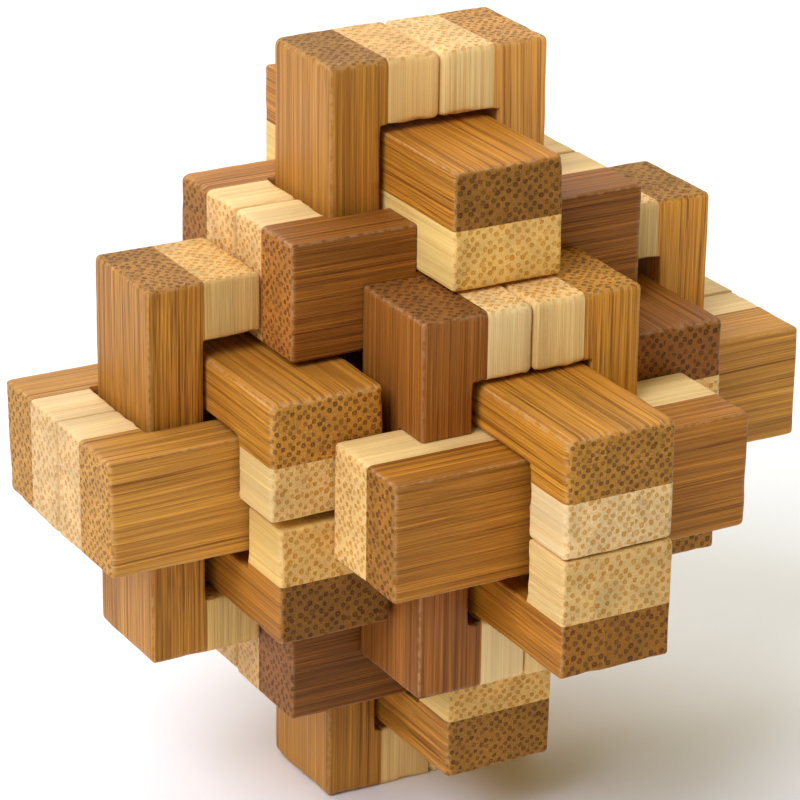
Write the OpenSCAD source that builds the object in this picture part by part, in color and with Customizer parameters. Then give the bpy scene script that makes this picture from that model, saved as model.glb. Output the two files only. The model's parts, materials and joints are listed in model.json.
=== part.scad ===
// Interlocking stick burr: eighteen short sticks and six long sticks in three crossing directions.
// Every stick is a dark strip glued to a light strip. A notch sawn through the light side
// turns it into a U, and two plain sticks without a notch are the keys that slide out first.

/* [Sticks] */
// Centre-to-centre spacing of neighbouring sticks
pitch = 12; // [11:0.5:13]
// Free gap left between two sticks that lie side by side
fit_gap = 0.1; // [0.05:0.05:0.5]
// Length of a short stick; a long stick is twice as long
short_len = 38.8; // [32:0.2:48]
// Small flat eased along every outer edge of a stick
edge_ease = 0.5; // [0.1:0.05:1]

/* [Notches] */
// Depth of the notch in the long and the paired sticks
notch_depth = 6.5; // [6:0.1:7]
// Depth of the notch in the four outer sticks
outer_notch_depth = 6.1; // [6:0.1:7]
// Deeper notch in the stick that bridges the front key
bridge_notch_depth = 7.5; // [7.5:0.1:8]
// Extra notch length at each end of a paired stick
pair_slack = 0.3; // [0.1:0.1:1]
// Extra notch length at each end of an outer stick
outer_slack = 1.3; // [1.3:0.1:1.5]
// Extra notch length at each end of a long stick
long_slack = 0.6; // [0.6:0.1:1]

/* [Keys] */
// Height of the front key above the middle of the burr
front_key_rise = 1.4; // [0:0.1:1.4]
// How far the front key has slid to the right
front_key_drift = 0.4; // [-5:0.1:5]
// How far the top key has slid to the back
top_key_drift = 0.5; // [-5:0.1:5]
// Gap between a key and the groove that it slides in
key_gap = 0.1; // [0.05:0.05:0.3]
// Gap between an outer stick and the stick ends behind it
seat_gap = 0.2; // [0.1:0.1:0.5]

/* [Settling] */
// Drift of each long pair: upright to the back, cross to the right, depth to the front
long_drift = [0.3, 0.3, 0.5]; // [0:0.1:0.5]
// Drift to the right of the long pair that runs front to back
depth_drift = 0.4; // [0:0.1:0.5]
// Drift outwards of the upper left stick; the other side sticks drift by a part of it
side_drift = 1.4; // [0:0.1:1.4]
// Drop of the lower stick in those pairs
side_drop = 0.8; // [0:0.1:0.8]
// Drop of the pair that crosses at the bottom
bottom_drop = 1.2; // [0.8:0.1:1.4]
// Lift of the pair that crosses at the top
top_lift = 0.4; // [0:0.1:1.4]
// Lift of the outer upright sticks
outer_lift = 0.4; // [0:0.1:0.4]
// Drop of the upright pair at the front
front_drop = 0.1; // [0:0.05:0.15]

/* [Colours] */
// Steamed bamboo
dark_tone = [0.56, 0.34, 0.15];
// Natural bamboo
light_tone = [0.90, 0.76, 0.52];

/* [Hidden] */
stick_w = pitch - fit_gap;
half_w = stick_w / 2;
short_half = short_len / 2;
long_half = short_len;
// Inner face of a paired stick, and of a stick that lies outside the pairs
seam = fit_gap / 2;
seat = short_half + seat_gap;
// Where the pairs to either side of the middle pair lie
row_pitch = 1.5 * pitch;
// Half length of each kind of notch, measured from the middle of the stick
long_notch = seat + stick_w + long_slack;
pair_notch = pitch + pair_slack;
outer_notch = pitch + outer_slack;
// Where the middle of the burr is: it stands on its upright long pair, and the origin
// is the centre of the box round the burr, which the drifted long pairs reach out to
middle = [-long_drift[1], long_drift[2], long_half];
// How far a cutting block runs past the wood
over = 1;

// The three directions that a stick can run in.
UPRIGHT = 0;
CROSS = 1;
DEPTH = 2;

// What was sawn out: [half notch length, notch depth]. A key has no notch.
cut_long = [long_notch, notch_depth];
cut_bridge = [long_notch, bridge_notch_depth];
cut_pair = [pair_notch, notch_depth];
cut_outer = [outer_notch, outer_notch_depth];
uncut = [0, 0];
// A stick that lies in the middle of its play
centred = [0, 0, 0];
// Where the lower sticks of the two side pairs lie
left_low = [-side_drift / 3, 0, -side_drop];
right_low = [side_drift / 2, 0, -side_drop];

// One row per stick:
// [direction, side, row, inner face, half length, cut, dark share, settled by].
// The dark share is how much of the stick's thickness the dark strip takes.
upright_long_left = [UPRIGHT, -1, 0, seam, long_half, cut_long, 0.52, [0, long_drift[0], 0]];
upright_long_right = [UPRIGHT, 1, 0, seam, long_half, cut_long, 0.51, [0, long_drift[0], 0]];
upright_front_left = [UPRIGHT, -1, -row_pitch, seam, short_half, cut_pair, 0.58, [0, 0, -front_drop]];
upright_front_right = [UPRIGHT, 1, -row_pitch, seam, short_half, cut_pair, 0.54, [0, 0, -front_drop]];
upright_back_left = [UPRIGHT, -1, row_pitch, seam, short_half, cut_pair, 0.51, centred];
upright_back_right = [UPRIGHT, 1, row_pitch, seam, short_half, cut_pair, 0.53, centred];
upright_outer_left = [UPRIGHT, -1, 0, seat, short_half, cut_outer, 0.5, [0, 0, outer_lift]];
upright_outer_right = [UPRIGHT, 1, 0, seat, short_half, cut_outer, 0.52, [0, 0, outer_lift]];
cross_long_front = [CROSS, -1, 0, seam, long_half, cut_long, 0.56, [long_drift[1], 0, 0]];
cross_long_back = [CROSS, 1, 0, seam, long_half, cut_long, 0.5, [long_drift[1], 0, 0]];
cross_top_front = [CROSS, -1, row_pitch, seam, short_half, cut_pair, 0.52, [0, 0, top_lift]];
cross_top_back = [CROSS, 1, row_pitch, seam, short_half, cut_pair, 0.5, [0, 0, top_lift]];
cross_bottom_front = [CROSS, -1, -row_pitch, seam, short_half, cut_pair, 0.59, [0, 0, -bottom_drop]];
cross_bottom_back = [CROSS, 1, -row_pitch, seam, short_half, cut_pair, 0.5, [0, 0, -bottom_drop]];
key_front = [CROSS, -1, 0, seat, short_half, uncut, 0.45, [front_key_drift, 0, front_key_rise]];
cross_outer_back = [CROSS, 1, 0, seat, short_half, cut_outer, 0.5, centred];
depth_long_top = [DEPTH, 1, 0, seam, long_half, cut_bridge, 0.52, [depth_drift, -long_drift[2], 0]];
depth_long_bottom = [DEPTH, -1, 0, seam, long_half, cut_long, 0.46, [depth_drift, -long_drift[2], 0]];
depth_left_top = [DEPTH, 1, -row_pitch, seam, short_half, cut_pair, 0.53, [-side_drift, 0, 0]];
depth_left_bottom = [DEPTH, -1, -row_pitch, seam, short_half, cut_pair, 0.51, left_low];
depth_right_top = [DEPTH, 1, row_pitch, seam, short_half, cut_pair, 0.5, [side_drift / 2, 0, 0]];
depth_right_bottom = [DEPTH, -1, row_pitch, seam, short_half, cut_pair, 0.51, right_low];
key_top = [DEPTH, 1, 0, seat, short_half, uncut, 0.49, [0, top_key_drift, 0]];
depth_outer_bottom = [DEPTH, -1, 0, seat, short_half, cut_outer, 0.52, centred];

// Which node to draw, or "all"

// What each place in a stick's row of values means.
function direction(s) = s[0];
function way_out(s) = s[1];
function row(s) = s[2];
function inner(s) = s[3];
function reach(s) = s[4];
function notch_half(s) = s[5][0];
function notch_floor(s) = s[3] + s[5][1];
function glue_line(s) = s[3] + stick_w * (1 - s[6]);
function settled(s) = s[7];

// A stick is worked out in its own axes: [out from the middle, across the row, along].
// This turns such a point into the shared axes for a stick that runs in direction d.
function turned(p, d) =
  d == UPRIGHT ? p : d == CROSS ? [p[2], p[0], p[1]] : [p[1], p[2], p[0]];

// Low and high corners, in the shared axes, of the part of stick s that lies from
// a to b out from the middle, w to either side of its row and c to either end.
function low_of(s, a, b, w, c) =
  turned([min(way_out(s) * a, way_out(s) * b), row(s) - w, -c], direction(s))
    + settled(s) + middle;
function high_of(s, a, b, w, c) =
  turned([max(way_out(s) * a, way_out(s) * b), row(s) + w, c], direction(s))
    + settled(s) + middle;

// The same two corners of the whole stick.
function stick_low(s) = low_of(s, inner(s), inner(s) + stick_w, half_w, reach(s));
function stick_high(s) = high_of(s, inner(s), inner(s) + stick_w, half_w, reach(s));

// A rectangle with its four corners cut off at 45 degrees.
function eased_outline(x0, x1, y0, y1, e) = [
  [x0 + e, y0], [x1 - e, y0], [x1, y0 + e], [x1, y1 - e],
  [x1 - e, y1], [x0 + e, y1], [x0, y1 - e], [x0, y0 + e]
];

module box_between(low, high) {
  translate(low)
    cube(high - low);
}

// A block with all twelve edges eased: three eased prisms, one along each axis, crossed.
module eased_block(low, high, e) {
  size = high - low;
  intersection() {
    translate([0, 0, low[2]])
      linear_extrude(size[2])
        polygon(eased_outline(low[0], high[0], low[1], high[1], e));
    translate([low[0], 0, 0])
      rotate([90, 0, 90])
        linear_extrude(size[0])
          polygon(eased_outline(low[1], high[1], low[2], high[2], e));
    translate([0, high[1], 0])
      rotate([90, 0, 0])
        linear_extrude(size[1])
          polygon(eased_outline(low[0], high[0], low[2], high[2], e));
  }
}

// The wood that is sawn out of the inner face of a stick.
module notch(s) {
  from = inner(s) - over;
  box_between(
    low_of(s, from, notch_floor(s), half_w + over, notch_half(s)),
    high_of(s, from, notch_floor(s), half_w + over, notch_half(s))
  );
}

// What lies from a to b out from the middle in stick s, less its notch.
module strip(s, a, b) {
  difference() {
    intersection() {
      eased_block(stick_low(s), stick_high(s), edge_ease);
      box_between(
        low_of(s, a, b, half_w + over, reach(s) + over),
        high_of(s, a, b, half_w + over, reach(s) + over)
      );
    }
    if (notch_half(s) > 0)
      notch(s);
  }
}

module dark_strip(s) {
  strip(s, glue_line(s), inner(s) + stick_w + over);
}

module light_strip(s) {
  strip(s, inner(s) - over, glue_line(s));
}

// The groove, open at both ends, that a key slides in.
module key_groove(key) {
  from = inner(key) - key_gap;
  to = inner(key) + stick_w + over;
  box_between(
    low_of(key, from, to, half_w + key_gap, long_half),
    high_of(key, from, to, half_w + key_gap, long_half)
  );
}

module upright_long_left_dark() {
  color(dark_tone)
    dark_strip(upright_long_left);
}

module upright_long_left_legs() {
  color(light_tone)
    light_strip(upright_long_left);
}

module upright_long_right_dark() {
  color(dark_tone)
    dark_strip(upright_long_right);
}

module upright_long_right_legs() {
  color(light_tone)
    light_strip(upright_long_right);
}

module upright_front_left_dark() {
  color(dark_tone)
    difference() {
      dark_strip(upright_front_left);
      key_groove(key_front);
    }
}

module upright_front_left_legs() {
  color(light_tone)
    light_strip(upright_front_left);
}

module upright_front_right_dark() {
  color(dark_tone)
    difference() {
      dark_strip(upright_front_right);
      key_groove(key_front);
    }
}

module upright_front_right_legs() {
  color(light_tone)
    light_strip(upright_front_right);
}

module upright_back_left_dark() {
  color(dark_tone)
    dark_strip(upright_back_left);
}

module upright_back_left_legs() {
  color(light_tone)
    light_strip(upright_back_left);
}

module upright_back_right_dark() {
  color(dark_tone)
    dark_strip(upright_back_right);
}

module upright_back_right_legs() {
  color(light_tone)
    light_strip(upright_back_right);
}

module upright_outer_left_dark() {
  color(dark_tone)
    dark_strip(upright_outer_left);
}

module upright_outer_left_legs() {
  color(light_tone)
    light_strip(upright_outer_left);
}

module upright_outer_right_dark() {
  color(dark_tone)
    dark_strip(upright_outer_right);
}

module upright_outer_right_legs() {
  color(light_tone)
    light_strip(upright_outer_right);
}

module cross_long_front_dark() {
  color(dark_tone)
    dark_strip(cross_long_front);
}

module cross_long_front_legs() {
  color(light_tone)
    light_strip(cross_long_front);
}

module cross_long_back_dark() {
  color(dark_tone)
    dark_strip(cross_long_back);
}

module cross_long_back_legs() {
  color(light_tone)
    light_strip(cross_long_back);
}

module cross_top_front_dark() {
  color(dark_tone)
    difference() {
      dark_strip(cross_top_front);
      key_groove(key_top);
    }
}

module cross_top_front_legs() {
  color(light_tone)
    light_strip(cross_top_front);
}

module cross_top_back_dark() {
  color(dark_tone)
    difference() {
      dark_strip(cross_top_back);
      key_groove(key_top);
    }
}

module cross_top_back_legs() {
  color(light_tone)
    light_strip(cross_top_back);
}

module cross_bottom_front_dark() {
  color(dark_tone)
    dark_strip(cross_bottom_front);
}

module cross_bottom_front_legs() {
  color(light_tone)
    light_strip(cross_bottom_front);
}

module cross_bottom_back_dark() {
  color(dark_tone)
    dark_strip(cross_bottom_back);
}

module cross_bottom_back_legs() {
  color(light_tone)
    light_strip(cross_bottom_back);
}

module key_front_dark() {
  color(dark_tone)
    dark_strip(key_front);
}

module key_front_light() {
  color(light_tone)
    light_strip(key_front);
}

module cross_outer_back_dark() {
  color(dark_tone)
    dark_strip(cross_outer_back);
}

module cross_outer_back_legs() {
  color(light_tone)
    light_strip(cross_outer_back);
}

module depth_long_top_dark() {
  color(dark_tone)
    dark_strip(depth_long_top);
}

module depth_long_top_legs() {
  color(light_tone)
    light_strip(depth_long_top);
}

module depth_long_bottom_dark() {
  color(dark_tone)
    dark_strip(depth_long_bottom);
}

module depth_long_bottom_legs() {
  color(light_tone)
    light_strip(depth_long_bottom);
}

module depth_left_top_dark() {
  color(dark_tone)
    dark_strip(depth_left_top);
}

module depth_left_top_legs() {
  color(light_tone)
    light_strip(depth_left_top);
}

module depth_left_bottom_dark() {
  color(dark_tone)
    dark_strip(depth_left_bottom);
}

module depth_left_bottom_legs() {
  color(light_tone)
    light_strip(depth_left_bottom);
}

module depth_right_top_dark() {
  color(dark_tone)
    dark_strip(depth_right_top);
}

module depth_right_top_legs() {
  color(light_tone)
    light_strip(depth_right_top);
}

module depth_right_bottom_dark() {
  color(dark_tone)
    dark_strip(depth_right_bottom);
}

module depth_right_bottom_legs() {
  color(light_tone)
    light_strip(depth_right_bottom);
}

module key_top_dark() {
  color(dark_tone)
    dark_strip(key_top);
}

module key_top_light() {
  color(light_tone)
    light_strip(key_top);
}

module depth_outer_bottom_dark() {
  color(dark_tone)
    dark_strip(depth_outer_bottom);
}

module depth_outer_bottom_legs() {
  color(light_tone)
    light_strip(depth_outer_bottom);
}

upright_long_left_dark();
upright_long_left_legs();
upright_long_right_dark();
upright_long_right_legs();
upright_front_left_dark();
upright_front_left_legs();
upright_front_right_dark();
upright_front_right_legs();
upright_back_left_dark();
upright_back_left_legs();
upright_back_right_dark();
upright_back_right_legs();
upright_outer_left_dark();
upright_outer_left_legs();
upright_outer_right_dark();
upright_outer_right_legs();
cross_long_front_dark();
cross_long_front_legs();
cross_long_back_dark();
cross_long_back_legs();
cross_top_front_dark();
cross_top_front_legs();
cross_top_back_dark();
cross_top_back_legs();
cross_bottom_front_dark();
cross_bottom_front_legs();
cross_bottom_back_dark();
cross_bottom_back_legs();
key_front_dark();
key_front_light();
cross_outer_back_dark();
cross_outer_back_legs();
depth_long_top_dark();
depth_long_top_legs();
depth_long_bottom_dark();
depth_long_bottom_legs();
depth_left_top_dark();
depth_left_top_legs();
depth_left_bottom_dark();
depth_left_bottom_legs();
depth_right_top_dark();
depth_right_top_legs();
depth_right_bottom_dark();
depth_right_bottom_legs();
key_top_dark();
key_top_light();
depth_outer_bottom_dark();
depth_outer_bottom_legs();
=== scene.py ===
"""How an interlocking burr of laminated bamboo sticks looks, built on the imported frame.

Each stick is a dark strip glued to a light strip. Both are meshed on one grid that runs over
the whole stick and are rounded, worn and sawn by one rule, so they meet flush at the glue line.
The bamboo is a solid texture in the stick's own axes: the bundles of fibres show as rings on
the end faces and as streaks along the sides of the same piece of wood.
The sticks are worked out in millimetres and handed to Blender in metres. Lights stand in metres.
"""

import json
import math

import bpy
import numpy as np
from mathutils import Matrix, Vector


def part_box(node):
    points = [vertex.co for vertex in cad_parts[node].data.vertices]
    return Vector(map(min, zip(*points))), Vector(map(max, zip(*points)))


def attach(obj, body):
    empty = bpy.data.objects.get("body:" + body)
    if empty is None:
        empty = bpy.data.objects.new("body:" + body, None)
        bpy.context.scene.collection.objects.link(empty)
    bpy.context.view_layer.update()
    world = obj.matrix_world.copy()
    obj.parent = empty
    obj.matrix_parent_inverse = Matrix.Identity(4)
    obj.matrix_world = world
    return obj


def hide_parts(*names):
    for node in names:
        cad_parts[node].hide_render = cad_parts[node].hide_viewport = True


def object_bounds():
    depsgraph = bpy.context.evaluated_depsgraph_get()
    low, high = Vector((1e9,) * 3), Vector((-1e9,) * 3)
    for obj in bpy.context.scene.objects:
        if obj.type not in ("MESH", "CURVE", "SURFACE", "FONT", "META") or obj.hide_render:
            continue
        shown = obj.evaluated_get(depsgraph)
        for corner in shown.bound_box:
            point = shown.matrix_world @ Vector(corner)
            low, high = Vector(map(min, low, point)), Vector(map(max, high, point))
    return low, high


MM = 0.001
TINY = 1e-4  # millimetres

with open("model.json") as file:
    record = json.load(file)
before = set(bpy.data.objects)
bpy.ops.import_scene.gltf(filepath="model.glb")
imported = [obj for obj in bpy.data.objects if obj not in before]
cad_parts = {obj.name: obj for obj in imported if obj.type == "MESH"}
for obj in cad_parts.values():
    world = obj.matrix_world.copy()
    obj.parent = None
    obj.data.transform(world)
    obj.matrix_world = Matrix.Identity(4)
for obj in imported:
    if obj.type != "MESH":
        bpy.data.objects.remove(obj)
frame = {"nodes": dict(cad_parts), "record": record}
cad_low, cad_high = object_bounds()

# ---------------------------------------------------------------- the sticks

# Which shared axis is a stick's own (out from the middle, across its row, along its length).
OWN_AXES = {"upright": (0, 1, 2), "cross": (1, 2, 0), "depth": (2, 0, 1)}
KEY_RUNS = {"key_front": "cross", "key_top": "depth"}
# The pairs that a key slides across, and the room that the key has in its groove.
GROOVED = {
    "upright_front_left": "key_front",
    "upright_front_right": "key_front",
    "cross_top_front": "key_top",
    "cross_top_back": "key_top",
}
KEY_GAP = 0.1

EDGE_ROUND = 0.38  # radius that tumbling and sanding left on the outer edges
ROUND_SPREAD = (0.9, 1.12)  # how that radius differs from stick to stick
ROUND_LIMITS = (0.22, 1.05)  # the least and the most that it comes to along an edge
END_ROUND = 1.45  # how much further the rounding reaches along the stick at its ends
MOST_END_ROUND = 1.2
SAWN_ROUND = 0.5  # radius on the edges of a notch, which were cut later
FLOOR_ROUND = 0.15  # radius in the angle between a notch's floor and the faces of the stick
SAW_WAVE = 0.42  # how deep the saw wandered into the end walls of a notch
MOST_SAWN = 0.4
SAW_FADE = 1.4  # how far behind such a wall its waves have died away
BODY_WAVE = 0.02  # unevenness of the sanded faces
# Lengths of the waves along the edges, on the sawn walls (coarse and fine) and on the faces.
EDGE_LENGTH, SAW_LENGTH, SAW_FINE_LENGTH, FACE_LENGTH = 5.0, 2.6, 1.1, 17.0
DENTS_PER_MM = 0.55  # dents on a stick for each millimetre of its half length
DENT_SIZE, DENT_DEPTH = (0.25, 0.7), (0.1, 0.45)
SHARP_ANGLE = math.radians(40)  # edges that bend more are shaded as edges


class Wave:
    """Smooth noise from about -1 to 1: a few sine waves in seeded directions."""

    def __init__(self, rng, length, count=9):
        turn = rng.normal(size=(count, 3))
        turn /= np.linalg.norm(turn, axis=1)[:, None]
        self.k = turn * rng.uniform(0.6, 1.6, (count, 1)) * (2 * math.pi / length)
        self.phase = rng.uniform(0, 2 * math.pi, count)

    def __call__(self, p):
        return np.sin(p @ self.k.T + self.phase).mean(1) * 1.8


def smooth(x):
    x = np.clip(x, 0, 1)
    return x * x * (3 - 2 * x)


def own_points(node, axes):
    """A CAD node's vertices in millimetres, as (out, across, along)."""
    mesh = frame["nodes"][node].data
    co = np.empty(len(mesh.vertices) * 3, np.float32)
    mesh.vertices.foreach_get("co", co)
    return co.reshape(-1, 3)[:, axes].astype(float) / MM


class Stick:
    """One stick's measurements, read from its two CAD nodes."""

    def __init__(self, name, number):
        self.name = name
        self.is_key = name in KEY_RUNS
        self.axes = list(OWN_AXES[KEY_RUNS.get(name, name.split("_")[0])])
        self.dark_node = name + "_dark"
        self.light_node = name + ("_light" if self.is_key else "_legs")
        self.rng = np.random.default_rng(1000 + number)
        dark = own_points(self.dark_node, self.axes)
        light = own_points(self.light_node, self.axes)
        self.way = 1.0 if dark[:, 0].mean() > light[:, 0].mean() else -1.0
        dark[:, 0] *= self.way
        light[:, 0] *= self.way
        self.inner, self.glue = light[:, 0].min(), dark[:, 0].min()
        self.outer = dark[:, 0].max()
        both = np.vstack([dark, light])
        self.mid = (both.max(0) + both.min(0)) / 2
        self.half = (both[:, 1].max() - both[:, 1].min()) / 2
        self.reach = (both[:, 2].max() - both[:, 2].min()) / 2
        self.notch, self.floor = 0.0, self.glue
        if not self.is_key:
            self.notch = np.abs(light[:, 2] - self.mid[2]).min()
            bare = np.abs(dark[:, 2] - self.mid[2]) < self.notch + 0.01
            self.floor = dark[bare & (dark[:, 0] > self.glue + 0.01), 0].min()
        self.groove = self.find_groove() if name in GROOVED else None

    def find_groove(self):
        """Its side, where its floor lies across, and its low and high ends along.

        The three places are measured from the stick's middle.
        """
        key = GROOVED[self.name]
        boxes = [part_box(key + end) for end in ("_dark", "_light")]
        low = np.array([np.array(b[0]) for b in boxes]).min(0)[self.axes] / MM
        high = np.array([np.array(b[1]) for b in boxes]).max(0)[self.axes] / MM
        side = 1.0 if (low[1] + high[1]) / 2 > self.mid[1] else -1.0
        near = low[1] if side > 0 else high[1]
        return (
            side,
            near - side * KEY_GAP - self.mid[1],
            low[2] - KEY_GAP - self.mid[2],
            high[2] + KEY_GAP - self.mid[2],
        )


# Distances from an edge at which the mesh has a line, so that the edge can be rounded.
OUTER_LINES = (0.09, 0.2, 0.34, 0.52, 0.78, 1.2)
SAWN_LINES = (0.12, 0.26, 0.44, 0.8, 1.4)
FLOOR_LINES = (0.07, 0.15)
GROOVE_LINES = (0.2,)
# Steps between the even lines: along, outwards, across, and between glue line and notch floor.
LONG_STEP, OUT_STEP, ACROSS_STEP, SEAM_STEP = 0.62, 0.85, 0.6, 0.3


def lines(low, high, step, after=(), before=()):
    """Grid lines from low to high: fine ones near either end, even ones of about step between."""
    first = [low + d for d in after if low + d < (low + high) / 2]
    last = [high - d for d in before if high - d > (low + high) / 2]
    start = first[-1] if first else low
    stop = last[-1] if last else high
    count = max(1, round((stop - start) / step))
    even = np.linspace(start, stop, count + 1)
    return sorted({round(float(v), 5) for v in [low, high, *first, *last, *even]})


def joined(*parts):
    return np.array(sorted({v for part in parts for v in part}))


def grid_of(s, strip):
    """The three sets of grid lines of one strip, about the stick's middle except outwards."""
    if strip == "dark":
        a = joined(
            lines(s.glue, s.floor, SEAM_STEP) if s.notch else [],
            lines(s.floor, s.outer, OUT_STEP, after=FLOOR_LINES, before=OUTER_LINES),
        )
    else:
        a = joined(lines(s.inner, s.glue, OUT_STEP, after=OUTER_LINES))
    b = joined(lines(-s.half, s.half, ACROSS_STEP, OUTER_LINES, OUTER_LINES))
    if not s.notch:
        return a, b, joined(lines(-s.reach, s.reach, LONG_STEP, OUTER_LINES, OUTER_LINES))
    leg = lines(s.notch, s.reach, LONG_STEP, SAWN_LINES, OUTER_LINES)
    mirror = [-v for v in leg]
    cuts = [-s.notch, s.notch]
    if s.groove:
        cuts[1:1] = [round(v, 5) for v in s.groove[2:]]
        b = joined(b, [round(s.groove[1], 5)])
    between = [
        lines(u, v, LONG_STEP, GROOVE_LINES, GROOVE_LINES) for u, v in zip(cuts, cuts[1:])
    ]
    return a, b, joined(mirror, *between, leg)


def middles(v):
    return (v[1:] + v[:-1]) / 2


def wood_cells(s, strip, a, b, c):
    """Which cells of the grid hold wood."""
    am = middles(a)[:, None, None]
    bm = middles(b)[None, :, None]
    cm = middles(c)[None, None, :]
    wood = np.ones((len(a) - 1, len(b) - 1, len(c) - 1), bool)
    if s.notch:
        wood &= ~((am < s.floor) & (np.abs(cm) < s.notch))
    if s.groove and strip == "dark":
        side, across, low, high = s.groove
        wood &= ~((side * bm > side * across) & (cm > low) & (cm < high))
    return wood


def skin(wood):
    """The outward faces of the cells that hold wood, as corners on the grid's lines."""
    _, nb, nc = wood.shape
    padded = np.pad(wood, 1)
    inside = padded[1:-1, 1:-1, 1:-1]
    quads = []
    for axis in range(3):
        u, v = (axis + 1) % 3, (axis + 2) % 3
        for step in (1, -1):
            beyond = np.roll(padded, -step, axis)[1:-1, 1:-1, 1:-1]
            corner = np.argwhere(inside & ~beyond)
            corner[:, axis] += step > 0
            ring = [(0, 0), (1, 0), (1, 1), (0, 1)]
            if step < 0:
                ring.reverse()
            quad = np.repeat(corner[:, None, :], 4, axis=1)
            for i, (du, dv) in enumerate(ring):
                quad[:, i, u] += du
                quad[:, i, v] += dv
            quads.append(quad)
    quads = np.concatenate(quads)
    flat = (quads[..., 0] * (nb + 1) + quads[..., 1]) * (nc + 1) + quads[..., 2]
    used, index = np.unique(flat, return_inverse=True)
    corners = np.stack(
        [used // ((nb + 1) * (nc + 1)), used // (nc + 1) % (nb + 1), used % (nc + 1)], 1
    )
    return corners, index.reshape(-1, 4)


class Wear:
    """How one stick's edges are rounded, how its notch was sawn and how its faces wave."""

    def __init__(self, s):
        self.s = s
        rng = s.rng
        self.middle = np.array([(s.inner + s.outer) / 2, 0, 0])
        self.halves = np.array([(s.outer - s.inner) / 2, s.half, s.reach])
        self.round = EDGE_ROUND * rng.uniform(*ROUND_SPREAD)
        # Most corners are worn about alike, and a few are worn down much more.
        self.corners = rng.uniform(0.7, 1.2, (2, 2, 2)) + 1.1 * rng.uniform(0, 1, (2, 2, 2)) ** 3
        self.edge_wave = Wave(rng, EDGE_LENGTH)
        self.saw_waves = [Wave(rng, SAW_LENGTH) for _ in range(2)]
        self.saw_fine = [Wave(rng, SAW_FINE_LENGTH) for _ in range(2)]
        self.face_waves = [Wave(rng, FACE_LENGTH) for _ in range(3)]
        count = int(s.reach * DENTS_PER_MM)
        self.dents = rng.uniform(-1, 1, (count, 3)) * self.halves + self.middle
        # Each dent is moved onto an edge: it keeps its place along one axis only.
        for dent, free in zip(self.dents, rng.integers(0, 3, count)):
            for axis in range(3):
                if axis != free:
                    side = (-1, 1)[rng.integers(0, 2)]
                    dent[axis] = self.middle[axis] + side * self.halves[axis]
        self.dent_size = rng.uniform(*DENT_SIZE, count)
        self.dent_depth = rng.uniform(*DENT_DEPTH, count)

    def corner_share(self, p):
        """How much rounder than usual the edges are near p, from the stick's eight corners."""
        t = smooth((p - self.middle) / self.halves / 2 + 0.5)
        along = self.corners[..., 0, None] * (1 - t[:, 2]) + self.corners[..., 1, None] * t[:, 2]
        across = along[:, 0] * (1 - t[:, 1]) + along[:, 1] * t[:, 1]
        return across[0] * (1 - t[:, 0]) + across[1] * t[:, 0]

    def edge_radius(self, p):
        r = self.round * self.corner_share(p) * (1 + 0.2 * self.edge_wave(p))
        for at, size, depth in zip(self.dents, self.dent_size, self.dent_depth):
            far = ((p - at) ** 2).sum(1) / size**2
            r = r + depth * np.exp(-far)
        return np.clip(r, *ROUND_LIMITS)

    def shape(self, p):
        """Grid points moved to the worn surface, how far each of them faces along the stick
        and how far it lies on a rounded edge."""
        s = self.s
        a, b, c = p.T
        r = self.edge_radius(p)
        in_notch = (np.abs(c) < s.notch - TINY) if s.notch else np.zeros(len(p), bool)
        on_leg = (a < s.floor - TINY) & ~in_notch if s.notch else np.zeros(len(p), bool)

        out = np.clip((a - (s.outer - r)) / r, 0, 1)
        inward = np.clip(((s.inner + r) - a) / r, 0, 1)
        floor_r = FLOOR_ROUND * smooth((s.notch - np.abs(c)) / 0.6) + 1e-6
        at_floor = np.clip(((s.floor + floor_r) - a) / floor_r, 0, 1)
        inward = np.where(in_notch, at_floor, inward)
        n_a = np.where(out > 0, out, inward)
        r_a = np.where((out > 0) | ~in_notch, r, floor_r)
        d_a = np.where(out > 0, 1.0, -1.0)

        n_b = np.clip((np.abs(b) - (s.half - r)) / r, 0, 1)
        d_b = np.sign(b)

        end_r = np.minimum(r * END_ROUND, MOST_END_ROUND)
        end = np.clip((np.abs(c) - (s.reach - end_r)) / end_r, 0, 1)
        saw_r = SAWN_ROUND * smooth((s.floor - a) / 1.2) + 1e-6
        sawn = np.where(on_leg, np.clip(((s.notch + saw_r) - np.abs(c)) / saw_r, 0, 1), 0)
        n_c = np.where(end > 0, end, sawn)
        r_c = np.where(end > 0, end_r, saw_r)
        d_c = np.where(end > 0, 1.0, -1.0) * np.sign(c)

        n = np.stack([n_a, n_b, n_c], 1)
        length = np.linalg.norm(n, axis=1)
        share = np.where(length > 0, n.max(1) / np.maximum(length, 1e-9), 1.0)
        push = np.stack([d_a * r_a, d_b * r, d_c * r_c], 1) * n
        q = p - push * (1 - share)[:, None]

        if s.notch:
            for i, side in enumerate((-1, 1)):
                waves = 0.35 * self.saw_waves[i](p) + 0.25 * self.saw_fine[i](p)
                deep = np.clip(SAW_WAVE * (0.5 + waves), 0, MOST_SAWN)
                near = np.clip(1 - (side * c - s.notch) / SAW_FADE, 0, 1)
                near *= (side * c > s.notch - TINY) * smooth((s.floor + 0.9 - a) / 0.9)
                q[:, 2] += side * deep * near
        for axis, wave in enumerate(self.face_waves):
            q[:, axis] += BODY_WAVE * wave(p)

        along = n_c**2 / np.maximum((n**2).sum(1), 1e-9) * (length > 0)
        return q, along, np.clip((1 - share) * 3.4, 0, 1)


def add_float(mesh, name, values):
    mesh.attributes.new(name, "FLOAT", "POINT").data.foreach_set(
        "value", values.astype(np.float32)
    )


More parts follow.
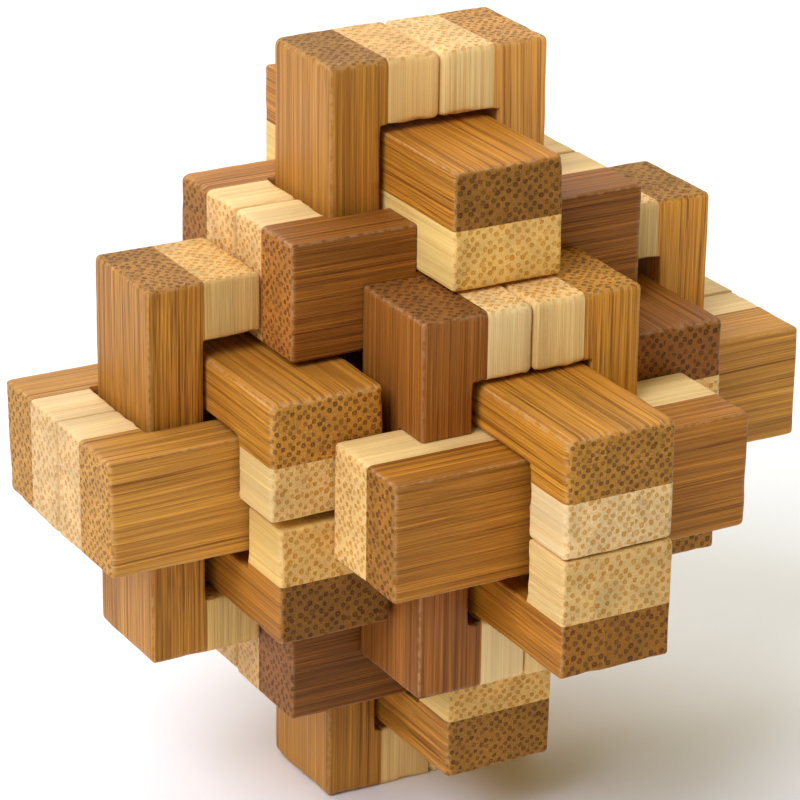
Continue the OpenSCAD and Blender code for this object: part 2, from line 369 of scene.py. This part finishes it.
def build_strip(s, wear, strip):
    """The mesh object of one strip of stick s, in the shared frame."""
    a, b, c = grid_of(s, strip)
    corners, quads = skin(wood_cells(s, strip, a, b, c))
    p = np.stack([a[corners[:, 0]], b[corners[:, 1]], c[corners[:, 2]]], 1)
    q, along, worn = wear.shape(p)
    world = np.empty_like(q)
    world[:, s.axes[0]] = q[:, 0] * s.way
    world[:, s.axes[1]] = q[:, 1] + s.mid[1]
    world[:, s.axes[2]] = q[:, 2] + s.mid[2]
    if s.way < 0:
        quads = quads[:, ::-1]

    node = s.dark_node if strip == "dark" else s.light_node
    mesh = bpy.data.meshes.new(node + "_wood")
    mesh.from_pydata((world * MM).tolist(), [], quads.tolist())
    place = p - ((s.inner + s.outer) / 2, 0, 0)
    grain = mesh.attributes.new("grain", "FLOAT_VECTOR", "POINT")
    grain.data.foreach_set("vector", place.astype(np.float32).ravel())
    add_float(mesh, "facing_along", along)
    add_float(mesh, "worn", worn)
    mesh.shade_smooth()
    mesh.set_sharp_from_angle(angle=SHARP_ANGLE)
    piece = bpy.data.objects.new(node + "_wood", mesh)
    bpy.context.scene.collection.objects.link(piece)
    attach(piece, s.name)
    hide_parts(node)
    return piece


# ---------------------------------------------------------------- the bamboo


class Nodes:
    """Short ways of adding nodes to a tree."""

    def __init__(self, tree):
        self.tree = tree

    def add(self, kind, inputs=(), **settings):
        node = self.tree.nodes.new(kind)
        for key, value in settings.items():
            setattr(node, key, value)
        for key, value in dict(inputs).items():
            self.plug(node.inputs[key], value)
        return node

    def plug(self, socket, value):
        if isinstance(value, bpy.types.NodeSocket):
            self.tree.links.new(value, socket)
        elif value is not None:
            socket.default_value = value

    def math(self, operation, a, b=None, c=None, clamp=False):
        node = self.add("ShaderNodeMath", operation=operation, use_clamp=clamp)
        for socket, value in zip(node.inputs, (a, b, c)):
            self.plug(socket, value)
        return node.outputs[0]

    def vector(self, operation, a, b=None, scale=None):
        node = self.add("ShaderNodeVectorMath", operation=operation)
        self.plug(node.inputs[0], a)
        self.plug(node.inputs[1], b)
        if scale is not None:
            self.plug(node.inputs["Scale"], scale)
        return node.outputs[0]

    def ramp(self, value, low, high, to_low=0.0, to_high=1.0):
        """A smooth step of value from low to high."""
        node = self.add(
            "ShaderNodeMapRange",
            {
                "Value": value,
                "From Min": low,
                "From Max": high,
                "To Min": to_low,
                "To Max": to_high,
            },
            interpolation_type="SMOOTHSTEP",
        )
        return node.outputs["Result"]

    def mix(self, factor, a, b, blend="MIX"):
        node = self.add("ShaderNodeMix", data_type="RGBA", blend_type=blend)
        self.plug(node.inputs["Factor"], factor)
        self.plug(node.inputs[6], a)
        self.plug(node.inputs[7], b)
        return node.outputs[2]

    def noise(self, vector, detail=2.0, rough=0.5):
        node = self.add(
            "ShaderNodeTexNoise",
            {"Vector": vector, "Scale": 1.0, "Detail": detail, "Roughness": rough},
        )
        return node.outputs["Fac"], node.outputs["Color"]


# Frequencies of the noises per millimetre, outwards, across and along the fibres.
DRIFT_SCALE = (0.10, 0.10, 0.03)
JITTER_SCALE = (1.3, 1.3, 0.035)
RAGGED_SCALE = (3.2, 3.2, 0.03)
FADE_SCALE = (0.9, 0.9, 0.04)
FIBRE_SCALE = (3.8, 3.8, 0.022)
HAIR_SCALE = (8.5, 8.5, 0.06)
BROAD_SCALE = (0.33, 0.33, 0.02)
SPECK_SCALE = (5.0, 5.0, 5.0)
CHIP_SCALE = (1.6, 1.6, 1.6)
OTHER_WOOD = (37.0, 11.0, 0.0)  # how far off the wood beyond a split is taken from
HALF = (0.5, 0.5, 0.5)
PALE_FIBRE_AND_GLINT = (1.0, 0.86, 0.62, 1.0)  # lightens the pale fibres, partly a painted highlight: the glint of light along them
RUBBED_AND_GLINT = (0.95, 0.72, 0.45, 1.0)  # where an edge is worn to bare fibre, and partly a painted highlight along the edge


def bamboo_group():
    """A node group for all strips. It gives colour, roughness and height in millimetres."""
    tree = bpy.data.node_groups.new("bamboo", "ShaderNodeTree")
    face = tree.interface
    for name, kind in (
        ("Ground", "NodeSocketColor"),
        ("Bundle", "NodeSocketColor"),
        ("End ground", "NodeSocketColor"),
        ("End bundle", "NodeSocketColor"),
        ("Seed", "NodeSocketVector"),
        ("Lean", "NodeSocketVector"),
        ("Spacing", "NodeSocketFloat"),
        ("Crowding", "NodeSocketFloat"),
        ("Wander", "NodeSocketFloat"),
        ("Streak", "NodeSocketFloat"),
        ("Split", "NodeSocketFloat"),
    ):
        face.new_socket(name, in_out="INPUT", socket_type=kind)
    for name, kind in (
        ("Color", "NodeSocketColor"),
        ("Roughness", "NodeSocketFloat"),
        ("Height", "NodeSocketFloat"),
    ):
        face.new_socket(name, in_out="OUTPUT", socket_type=kind)
    n = Nodes(tree)
    given = n.add("NodeGroupInput").outputs
    result = n.add("NodeGroupOutput").inputs

    place = n.add("ShaderNodeAttribute", attribute_name="grain").outputs["Vector"]
    ends = n.add("ShaderNodeAttribute", attribute_name="facing_along").outputs["Fac"]
    worn = n.add("ShaderNodeAttribute", attribute_name="worn").outputs["Fac"]
    local = n.add("ShaderNodeSeparateXYZ", {0: place}).outputs
    # Some strips are made of two pieces side by side: past the split it is other wood.
    second = n.math("GREATER_THAN", local[1], given["Split"])
    other = n.vector("SCALE", OTHER_WOOD, scale=second)
    seeded = n.vector("ADD", n.vector("ADD", place, given["Seed"]), other)

    # The fibres drift slowly to the side as they run along the stick.
    slow = n.vector("MULTIPLY", seeded, DRIFT_SCALE)
    drift = n.vector("SUBTRACT", n.noise(slow, 1.0)[1], HALF)
    drift = n.vector("SCALE", drift, scale=given["Wander"])
    lean = n.vector("SCALE", given["Lean"], scale=local[2])
    moved = n.vector("ADD", n.vector("ADD", seeded, drift), lean)
    fine = n.vector("MULTIPLY", moved, JITTER_SCALE)
    jitter = n.vector("SUBTRACT", n.noise(fine, 1.0)[1], HALF)
    moved = n.vector("ADD", moved, n.vector("SCALE", jitter, scale=0.13))
    parts = n.add("ShaderNodeSeparateXYZ", {0: moved}).outputs

    # The bundles lie in staggered rows, closer together towards one face.
    squeeze = n.math("MULTIPLY", n.math("MULTIPLY", local[0], local[0]), given["Crowding"])
    u = n.math("DIVIDE", n.math("ADD", parts[0], squeeze), given["Spacing"])
    v = n.math("DIVIDE", parts[1], given["Spacing"])
    stagger = {0: n.math("ADD", u, v), 1: n.math("SUBTRACT", u, v)}
    cell = n.add("ShaderNodeCombineXYZ", stagger).outputs[0]
    cell = n.vector("SCALE", cell, scale=math.sqrt(0.5))
    ragged = n.noise(n.vector("MULTIPLY", seeded, RAGGED_SCALE), 2.0, 0.6)[1]
    ragged = n.vector("SCALE", n.vector("SUBTRACT", ragged, HALF), scale=0.3)
    cell = n.vector("ADD", cell, ragged)
    bundle = n.add(
        "ShaderNodeTexVoronoi",
        {"Vector": cell, "Scale": 1.0, "Randomness": 0.5, "Exponent": 1.6},
        voronoi_dimensions="2D",
        feature="F1",
        distance="MINKOWSKI",
    )
    kind = n.add("ShaderNodeSeparateColor", {0: bundle.outputs["Color"]}).outputs
    radius = n.math("MULTIPLY_ADD", kind[0], 0.09, 0.24)
    far = n.math("DIVIDE", bundle.outputs["Distance"], radius)
    sheath = n.math(
        "MULTIPLY", n.ramp(far, 0.0, 0.42), n.ramp(far, 0.9, 1.3, 1.0, 0.0)
    )
    core = n.ramp(far, 0.0, 0.4, 1.0, 0.0)

    # Streaks: sheaths cut lengthways, that fade in and out, over fine and broad fibre.
    fade = n.noise(n.vector("MULTIPLY", moved, FADE_SCALE), 2.0)[0]
    streak = n.math("MULTIPLY", sheath, n.ramp(fade, 0.3, 0.68, 0.25, 1.0))
    fibre = n.noise(n.vector("MULTIPLY", moved, FIBRE_SCALE), 3.0, 0.6)[0]
    hair = n.noise(n.vector("MULTIPLY", moved, HAIR_SCALE), 2.0, 0.6)[0]
    broad = n.noise(n.vector("MULTIPLY", moved, BROAD_SCALE), 2.0)[0]
    dark_line = n.ramp(fibre, 0.53, 0.62)
    thin_line = n.ramp(hair, 0.5, 0.6)
    mark = n.math("MULTIPLY_ADD", dark_line, 0.5, n.math("MULTIPLY", streak, 0.5))
    mark = n.math("MULTIPLY_ADD", thin_line, 0.42, mark)
    mark = n.math("MULTIPLY", mark, given["Streak"], clamp=True)
    side = n.mix(mark, given["Ground"], given["Bundle"])
    # Thin pale lines along the fibres: partly pale fibre, partly a painted highlight on them.
    light = n.math("MULTIPLY", n.ramp(fibre, 0.5, 0.4), n.ramp(hair, 0.48, 0.4, 0.15, 0.7))
    side = n.mix(light, side, PALE_FIBRE_AND_GLINT, "SOFT_LIGHT")

    # End grain: rings with a pale core on a ground that is mottled all ways.
    speck = n.noise(n.vector("MULTIPLY", seeded, SPECK_SCALE), 3.0, 0.7)[0]
    ground = n.mix(n.ramp(speck, 0.32, 0.68, 0.0, 0.5), given["End ground"], given["End bundle"])
    strength = n.math("MULTIPLY_ADD", kind[1], 0.42, 0.56)
    ring = n.math("MULTIPLY", sheath, strength)
    end = n.mix(ring, ground, given["End bundle"])
    end = n.mix(n.math("MULTIPLY", core, 0.35), end, given["Ground"])

    colour = n.mix(ends, side, end)
    tone = n.math("MULTIPLY_ADD", second, -0.09, n.ramp(broad, 0.25, 0.75, 0.88, 1.12))
    colour = n.vector("SCALE", colour, scale=tone)
    # Pale patches on the rounded edges: partly wear to bare fibre, partly a painted highlight
    # along them.
    chips = n.noise(n.vector("MULTIPLY", seeded, CHIP_SCALE), 3.0)[0]
    rubbed_and_glint = n.math("MULTIPLY", n.math("MULTIPLY", worn, n.ramp(chips, 0.36, 0.62)), 0.32)
    colour = n.mix(rubbed_and_glint, colour, n.mix(0.5, given["Ground"], RUBBED_AND_GLINT))

    n.plug(result["Color"], colour)
    rough = n.math("MULTIPLY_ADD", fibre, 0.22, 0.34)
    rough = n.math("MULTIPLY_ADD", ends, 0.14, rough)
    n.plug(result["Roughness"], rough)
    groove = n.math("MULTIPLY_ADD", mark, -0.05, n.math("MULTIPLY", fibre, -0.03))
    groove = n.math("MULTIPLY_ADD", hair, -0.02, groove)
    pit = n.math("MULTIPLY_ADD", ring, -0.1, n.math("MULTIPLY", speck, 0.045))
    height = n.add("ShaderNodeMix", {"Factor": ends, 2: groove, 3: pit}, data_type="FLOAT")
    n.plug(result["Height"], height.outputs[0])
    return tree


def tinted(colour, tone):
    return (*(min(1.0, v * t) for v, t in zip(colour, tone)), 1.0)


# Linear colours of the two strips: side ground, side bundle, end ground, end bundle.
DARK = ((0.53, 0.224, 0.029), (0.21, 0.061, 0.004), (0.46, 0.210, 0.033), (0.14, 0.046, 0.005))
LIGHT = ((0.83, 0.57, 0.24), (0.66, 0.37, 0.09), (0.82, 0.55, 0.235), (0.57, 0.25, 0.022))

# Each stick is its own piece of bamboo, and partly painted light: how its dark and light strips
# differ in tone.
# Painted light: the sticks on the right, lit more brightly from that side, are made lighter.
STICK_TONES_AND_LIGHT = {
    "cross_bottom_front": ((0.40, 0.34, 0.42), (0.90, 0.88, 0.85)),
    "cross_long_back": ((1.00, 1.12, 1.50), (0.88, 0.92, 1.05)),
    "cross_long_front": ((1.00, 1.10, 1.45), (0.88, 0.90, 1.00)),
    "cross_top_back": ((0.90, 0.85, 0.90), (0.96, 0.97, 1.00)),
    "cross_top_front": ((0.61, 0.53, 0.59), (0.98, 1.00, 1.05)),
    "depth_left_bottom": ((0.76, 0.70, 0.58), (0.91, 0.86, 0.65)),
    "depth_left_top": ((0.97, 0.98, 0.97), (0.92, 0.92, 0.88)),
    "depth_long_bottom": ((0.87, 0.78, 0.45), (0.95, 0.95, 0.90)),
    "depth_long_top": ((1.12, 1.14, 1.04), (1.03, 1.10, 1.33)),
    "depth_outer_bottom": ((1.00, 1.00, 1.00), (1.00, 0.97, 0.80)),
    "depth_right_top": ((0.58, 0.47, 0.40), (1.00, 1.00, 1.00)),
    "key_front": ((0.82, 0.77, 0.70), (1.10, 1.12, 1.10)),
    "key_top": ((0.97, 0.93, 0.82), (1.12, 1.12, 0.90)),
    "upright_front_left": ((0.60, 0.51, 0.60), (1.04, 1.12, 1.30)),
    "upright_front_right": ((1.28, 1.30, 0.95), (1.04, 1.05, 1.05)),
    "upright_long_left": ((0.90, 0.93, 1.06), (1.04, 0.98, 0.92)),
    "upright_long_right": ((1.45, 1.60, 2.60), (1.08, 1.12, 1.20)),
    "upright_outer_left": ((0.99, 1.02, 1.14), (0.86, 0.83, 0.72)),
    "upright_outer_right": ((1.40, 1.45, 1.50), (1.00, 1.00, 1.00)),
}
# How much lighter the end faces of a stick's two strips are than its tone makes them: partly
# painted light.
# Painted light: the ends of the cross sticks, which face the light from the left, are made
# lighter.
END_TONES_AND_LIGHT = {
    "cross_bottom_front": (1.80, 1.00),
    "cross_long_back": (1.30, 1.02),
    "cross_long_front": (1.34, 1.06),
    "cross_top_back": (1.08, 1.06),
    "cross_top_front": (1.85, 1.10),
    "depth_left_bottom": (0.72, 0.97),
    "depth_left_top": (1.38, 1.00),
    "depth_long_top": (1.04, 1.06),
    "depth_outer_bottom": (0.90, 1.02),
    "depth_right_top": (1.35, 1.00),
    "key_front": (1.12, 0.94),
    "key_top": (0.76, 1.00),
    "upright_front_left": (1.05, 1.15),
    "upright_front_right": (1.05, 1.15),
    "upright_long_left": (0.98, 0.94),
    "upright_outer_left": (1.06, 1.00),
    "upright_outer_right": (0.70, 1.00),
}

# What a strip's own numbers are drawn from.
SPACING = (0.71, 0.84)  # millimetres between bundles
CROWDING = 0.012  # how strongly the rows close up towards one face
LEAN = 0.006  # sideways drift of the fibres for each millimetre along
WANDER = (0.2, 0.8)
STREAK = {"dark": (0.65, 0.95), "light": (0.35, 0.65)}
SPLIT_SHARE, SPLIT_REACH = 0.3, 4
WHOLE = 99.0  # a split that lies outside the strip

UNCHANGED = (1, 1, 1)
BUMP = 0.75
GLOSS = 0.2
LEG_ROUGHNESS = 0.47  # the pale legs are as rough all over


def strip_material(group, s, strip):
    rng = s.rng
    part = 0 if strip == "dark" else 1
    # The stick's tone, partly its own wood and partly painted light.
    tone = STICK_TONES_AND_LIGHT.get(s.name, (UNCHANGED, UNCHANGED))[part]
    # The end faces' tone, partly painted light on the ends that face the lamps.
    end_tone_and_light = END_TONES_AND_LIGHT.get(s.name, (1, 1))[part]
    drift = rng.uniform(0.95, 1.05)
    material = bpy.data.materials.new(s.name + "_" + strip)
    material.use_nodes = True
    material.node_tree.nodes.clear()
    n = Nodes(material.node_tree)
    wood = n.add("ShaderNodeGroup", node_tree=group)
    names = ("Ground", "Bundle", "End ground", "End bundle")
    shares = (drift, drift, drift * end_tone_and_light, drift * end_tone_and_light)
    for name, colour, share in zip(names, (DARK, LIGHT)[part], shares):
        n.plug(wood.inputs[name], tinted(colour, [share * v for v in tone]))
    n.plug(wood.inputs["Seed"], tuple(rng.uniform(-90, 90, 3)))
    n.plug(wood.inputs["Lean"], (*rng.normal(0, LEAN, 2), 0.0))
    n.plug(wood.inputs["Spacing"], rng.uniform(*SPACING))
    n.plug(wood.inputs["Crowding"], rng.uniform(-CROWDING, CROWDING))
    n.plug(wood.inputs["Wander"], rng.uniform(*WANDER))
    n.plug(wood.inputs["Streak"], rng.uniform(*STREAK[strip]))
    is_split = rng.random() < SPLIT_SHARE
    split = rng.uniform(-SPLIT_REACH, SPLIT_REACH) if is_split else WHOLE
    n.plug(wood.inputs["Split"], split)
    pale_legs = strip == "light" and not s.is_key
    bump = n.add(
        "ShaderNodeBump",
        {"Strength": BUMP, "Distance": MM, "Height": wood.outputs["Height"]},
    )
    surface = n.add(
        "ShaderNodeBsdfPrincipled",
        {
            "Base Color": wood.outputs["Color"],
            "Roughness": LEG_ROUGHNESS if pale_legs else wood.outputs["Roughness"],
            "Specular IOR Level": GLOSS,
            "Normal": bump.outputs[0],
        },
    )
    n.add("ShaderNodeOutputMaterial", {"Surface": surface.outputs[0]})
    return material


group = bamboo_group()
for number, name in enumerate(sorted(frame["record"]["behaviour"]["bodies"])):
    stick = Stick(name, number)
    wear = Wear(stick)
    for strip in ("dark", "light"):
        piece = build_strip(stick, wear, strip)
        piece.data.materials.append(strip_material(group, stick, strip))


# ---------------------------------------------------------------- floor, light and camera

FLOOR_COLOUR = (0.92, 0.92, 0.92, 1.0)
FLOOR_ROUGHNESS = 0.7


def floor_material():
    material = bpy.data.materials.new("pale_floor")
    material.use_nodes = True
    shader = material.node_tree.nodes["Principled BSDF"]
    shader.inputs["Base Color"].default_value = FLOOR_COLOUR
    shader.inputs["Roughness"].default_value = FLOOR_ROUGHNESS
    return material


def make_floor():
    """A pale sheet that curves up far behind the object."""
    side, back, radius, height, bends = 1500.0, 900.0, 400.0, 1200.0, 12
    profile = [(-side, 0.0), (back, 0.0)]
    for i in range(1, bends + 1):
        t = i / bends * math.pi / 2
        profile.append((back + radius * math.sin(t), radius * (1 - math.cos(t))))
    profile.append((back + radius, height))
    points = [(x, y, z) for y, z in profile for x in (-side, side)]
    faces = [(2 * i, 2 * i + 1, 2 * i + 3, 2 * i + 2) for i in range(len(profile) - 1)]
    mesh = bpy.data.meshes.new("floor")
    mesh.from_pydata([[v * MM for v in p] for p in points], [], faces)
    mesh.shade_smooth()
    floor = bpy.data.objects.new("floor", mesh)
    bpy.context.scene.collection.objects.link(floor)
    mesh.materials.append(floor_material())


def area_light(name, place, target, size, power, colour=(1.0, 1.0, 1.0)):
    light = bpy.data.lights.new(name, "AREA")
    light.shape = "RECTANGLE"
    light.size, light.size_y = size
    light.energy = power
    light.color = colour
    lamp = bpy.data.objects.new(name, light)
    bpy.context.scene.collection.objects.link(lamp)
    lamp.location = place
    lamp.rotation_mode = "QUATERNION"
    lamp.rotation_quaternion = (Vector(target) - Vector(place)).to_track_quat("-Z", "Y")


make_floor()
centre = (cad_low + cad_high) / 2
area_light("key_light", (-0.75, -0.30, 0.85), centre, (0.7, 0.7), 10.8, (0.97, 0.99, 1.2))
area_light("fill_light", (0.9, -0.9, 0.5), centre, (0.8, 0.8), 0.7, (1.0, 0.95, 0.80))
area_light("top_light", (0.1, 0.35, 1.1), centre, (1.0, 0.8), 3.4, (0.98, 0.99, 1.15))
area_light("backdrop_light", (0.0, 0.9, 1.0), (0.0, 0.9, 0.0), (1.6, 0.8), 9.0)

world = bpy.data.worlds.new("studio")
world.use_nodes = True
sky = world.node_tree.nodes["Background"].inputs
sky["Color"].default_value = (1.0, 0.95, 0.48, 1.0)
sky["Strength"].default_value = 0.27
bpy.context.scene.world = world
bpy.context.scene.view_settings.view_transform = "Standard"

# The camera stands to the left of the front and looks down on the burr, rolled a little.
YAW, PITCH, ROLL = math.radians(-29.31), math.radians(22.25), math.radians(0.70)
FOCAL = 164.8
DISTANCE = 368.5
SHIFT_RIGHT, SHIFT_UP = -1.29, 0.92
back = Vector(
    (math.sin(YAW) * math.cos(PITCH), -math.cos(YAW) * math.cos(PITCH), math.sin(PITCH))
)
level = Vector((0, 0, 1)).cross(back).normalized()
rise = back.cross(level)
right = math.cos(ROLL) * level + math.sin(ROLL) * rise
up = -math.sin(ROLL) * level + math.cos(ROLL) * rise
camera_data = bpy.data.cameras.new("camera")
camera_data.sensor_width = 36.0
camera_data.lens = FOCAL
camera_data.clip_start, camera_data.clip_end = 0.01, 20.0
camera = bpy.data.objects.new("camera", camera_data)
bpy.context.scene.collection.objects.link(camera)
turn = Matrix((right, up, back)).transposed()
camera.matrix_world = Matrix.Translation(
    centre + (right * SHIFT_RIGHT + up * SHIFT_UP + back * DISTANCE) * MM
) @ turn.to_4x4()
bpy.context.scene.camera = camera
